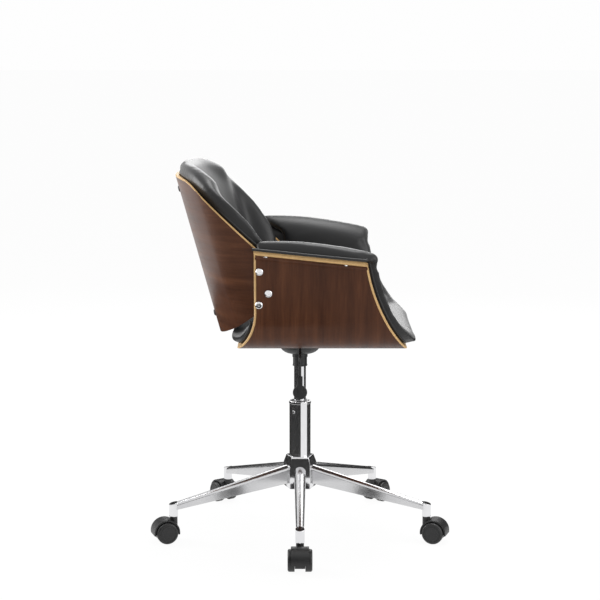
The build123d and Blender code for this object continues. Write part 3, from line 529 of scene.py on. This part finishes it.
def makePiping(name, rows):
    curve = bpy.data.curves.new(name, "CURVE")
    curve.dimensions = "3D"
    curve.bevel_depth = piping["radius"]
    curve.bevel_resolution = piping["sides"]
    curve.use_fill_caps = True
    curve.resolution_u = 3
    for row in rows:
        points = [p + out * piping["ahead"] + inward * piping["lift"] for p, out, inward in row]
        spaced = [points[0]]
        for point in points[1:]:
            if (point - spaced[-1]).length > piping["spacing"]:
                spaced.append(point)
        if len(spaced) < piping["fewest"]:
            continue
        spline = curve.splines.new("NURBS")
        spline.points.add(len(spaced) - 1)
        for target, point in zip(spline.points, spaced):
            target.co = (*point, 1.0)
        spline.order_u = 3
        spline.use_endpoint_u = True
    tube = bpy.data.objects.new(name, curve)
    bpy.context.scene.collection.objects.link(tube)
    bpy.context.view_layer.update()
    mesh = evaluatedMesh(tube)
    bpy.data.objects.remove(tube)
    mesh.materials.clear()
    for polygon in mesh.polygons:
        polygon.use_smooth = True
    return place(name, mesh, ["piping"], "seat", "leather")


makePiping("seat_piping", seatRows)
makePiping("back_piping", backRows)
print("piping sewn")


# floor, light and camera

backdropRays = ["Is Camera Ray", "Is Glossy Ray", "Is Transmission Ray"]
# what isn't white in the floor's mix takes the shadow
floorLook = {"size": 60.0, "colour": (0.95, 0.95, 0.95, 1.0), "white": 0.95}


def stageFinish():
    finish = Finish("paleFloor", Roughness=0.9, Specular_IOR_Level=0.0)
    finish.shader.inputs["Base Color"].default_value = floorLook["colour"]
    rays = finish.tree.nodes.new("ShaderNodeLightPath")
    camera, glossy, through = [Value(finish, rays.outputs[name]) for name in backdropRays]
    seen = (camera + glossy + through) * floorLook["white"]
    glow = finish.make("ShaderNodeEmission", {}, {"Color": (1.0, 1.0, 1.0, 1.0), "Strength": 1.0})
    plain = Value(finish, finish.shader.outputs[0])
    mixed = finish.make("ShaderNodeMixShader", {}, {0: seen, 1: plain, 2: glow})
    finish.tree.links.new(mixed.socket, finish.tree.nodes["Material Output"].inputs["Surface"])
    return finish


floorMesh = bpy.data.meshes.new("floor")
bm = bmesh.new()
bmesh.ops.create_grid(bm, x_segments=1, y_segments=1, size=floorLook["size"])
bm.to_mesh(floorMesh)
bm.free()
floorMesh.materials.append(stageFinish().material)
floor = bpy.data.objects.new("floor", floorMesh)
bpy.context.scene.collection.objects.link(floor)

# a low dark flag stands round the base with a gap for the light
# metal shows it in place of the white floor beyond it and the lowest backdrop
flags = [
    {"name": "lowFlag", "profile": [(0.72, 0.0), (0.72, 0.40)],
     "from": -9.0, "to": 278.0, "panels": 48, "grey": 0.04},
]


def makeFlag(flag):
    bm = bmesh.new()
    rows = []
    for panel in range(flag["panels"] + 1):
        angle = radians(flag["from"] + (flag["to"] - flag["from"]) * panel / flag["panels"])
        rows.append([bm.verts.new((cos(angle) * r, sin(angle) * r, z)) for r, z in flag["profile"]])
    for left, right in zip(rows, rows[1:]):
        for i in range(len(left) - 1):
            bm.faces.new((left[i], right[i], right[i + 1], left[i + 1]))
    mesh = bpy.data.meshes.new(flag["name"])
    bm.to_mesh(mesh)
    bm.free()
    finish = Finish(flag["name"], Roughness=1.0, Specular_IOR_Level=0.0)
    finish.shader.inputs["Base Color"].default_value = (flag["grey"], flag["grey"], flag["grey"], 1.0)
    mesh.materials.append(finish.material)
    sheet = bpy.data.objects.new(flag["name"], mesh)
    bpy.context.scene.collection.objects.link(sheet)
    sheet.visible_camera = False
    sheet.visible_diffuse = False
    sheet.visible_shadow = False


for flag in flags:
    makeFlag(flag)

studio = {
    "world": 0.55,
    "backdrop": 0.99,
    "lamps": [
        # name, place, aimed at, width, height, power
        ("overhead", (0.3, 0.5, 3.3), (0.0, 0.0, 0.5), 1.5, 1.5, 66.0),
        ("leftStrip", (-2.9, 0.8, 1.3), (-0.2, 0.0, 0.6), 1.3, 2.4, 80.0),
        ("rightBox", (2.9, -1.6, 1.7), (0.1, 0.0, 0.6), 1.6, 2.2, 46.0),
        ("behind", (0.4, 3.2, 1.9), (0.0, 0.0, 0.6), 2.4, 1.6, 40.0),
    ],
}


def makeLamp(name, spot, target, width, height, power):
    light = bpy.data.lights.new(name, "AREA")
    light.shape = "RECTANGLE"
    light.size = width
    light.size_y = height
    light.energy = power
    lamp = bpy.data.objects.new(name, light)
    lamp.location = spot
    lamp.rotation_euler = (Vector(target) - Vector(spot)).to_track_quat("-Z", "Y").to_euler()
    bpy.context.scene.collection.objects.link(lamp)


for lamp in studio["lamps"]:
    makeLamp(*lamp)

world = bpy.data.worlds.new("studio")
bpy.context.scene.world = world
world.use_nodes = True
sky = world.node_tree
rays = sky.nodes.new("ShaderNodeLightPath")
seen = rays.outputs[backdropRays[0]]
for name in backdropRays[1:]:
    both = sky.nodes.new("ShaderNodeMath")
    sky.links.new(seen, both.inputs[0])
    sky.links.new(rays.outputs[name], both.inputs[1])
    seen = both.outputs[0]
level = sky.nodes.new("ShaderNodeMapRange")
level.inputs["To Min"].default_value = studio["world"]
level.inputs["To Max"].default_value = studio["backdrop"]
sky.links.new(seen, level.inputs["Value"])
sky.nodes["Background"].inputs["Color"].default_value = (1.0, 1.0, 1.0, 1.0)
sky.links.new(level.outputs[0], sky.nodes["Background"].inputs["Strength"])

view = {"place": (0.0, -4.0, 1.162), "tilt": 8.63, "lens": 103.5, "sensor": 36.0}
camera = bpy.data.objects.new("camera", bpy.data.cameras.new("camera"))
camera.data.sensor_width = view["sensor"]
camera.data.lens = view["lens"]
camera.location = view["place"]
camera.rotation_euler = (radians(90.0 - view["tilt"]), 0.0, 0.0)
bpy.context.scene.collection.objects.link(camera)
bpy.context.scene.camera = camera
bpy.context.scene.view_settings.view_transform = "Standard"
print("stage set")
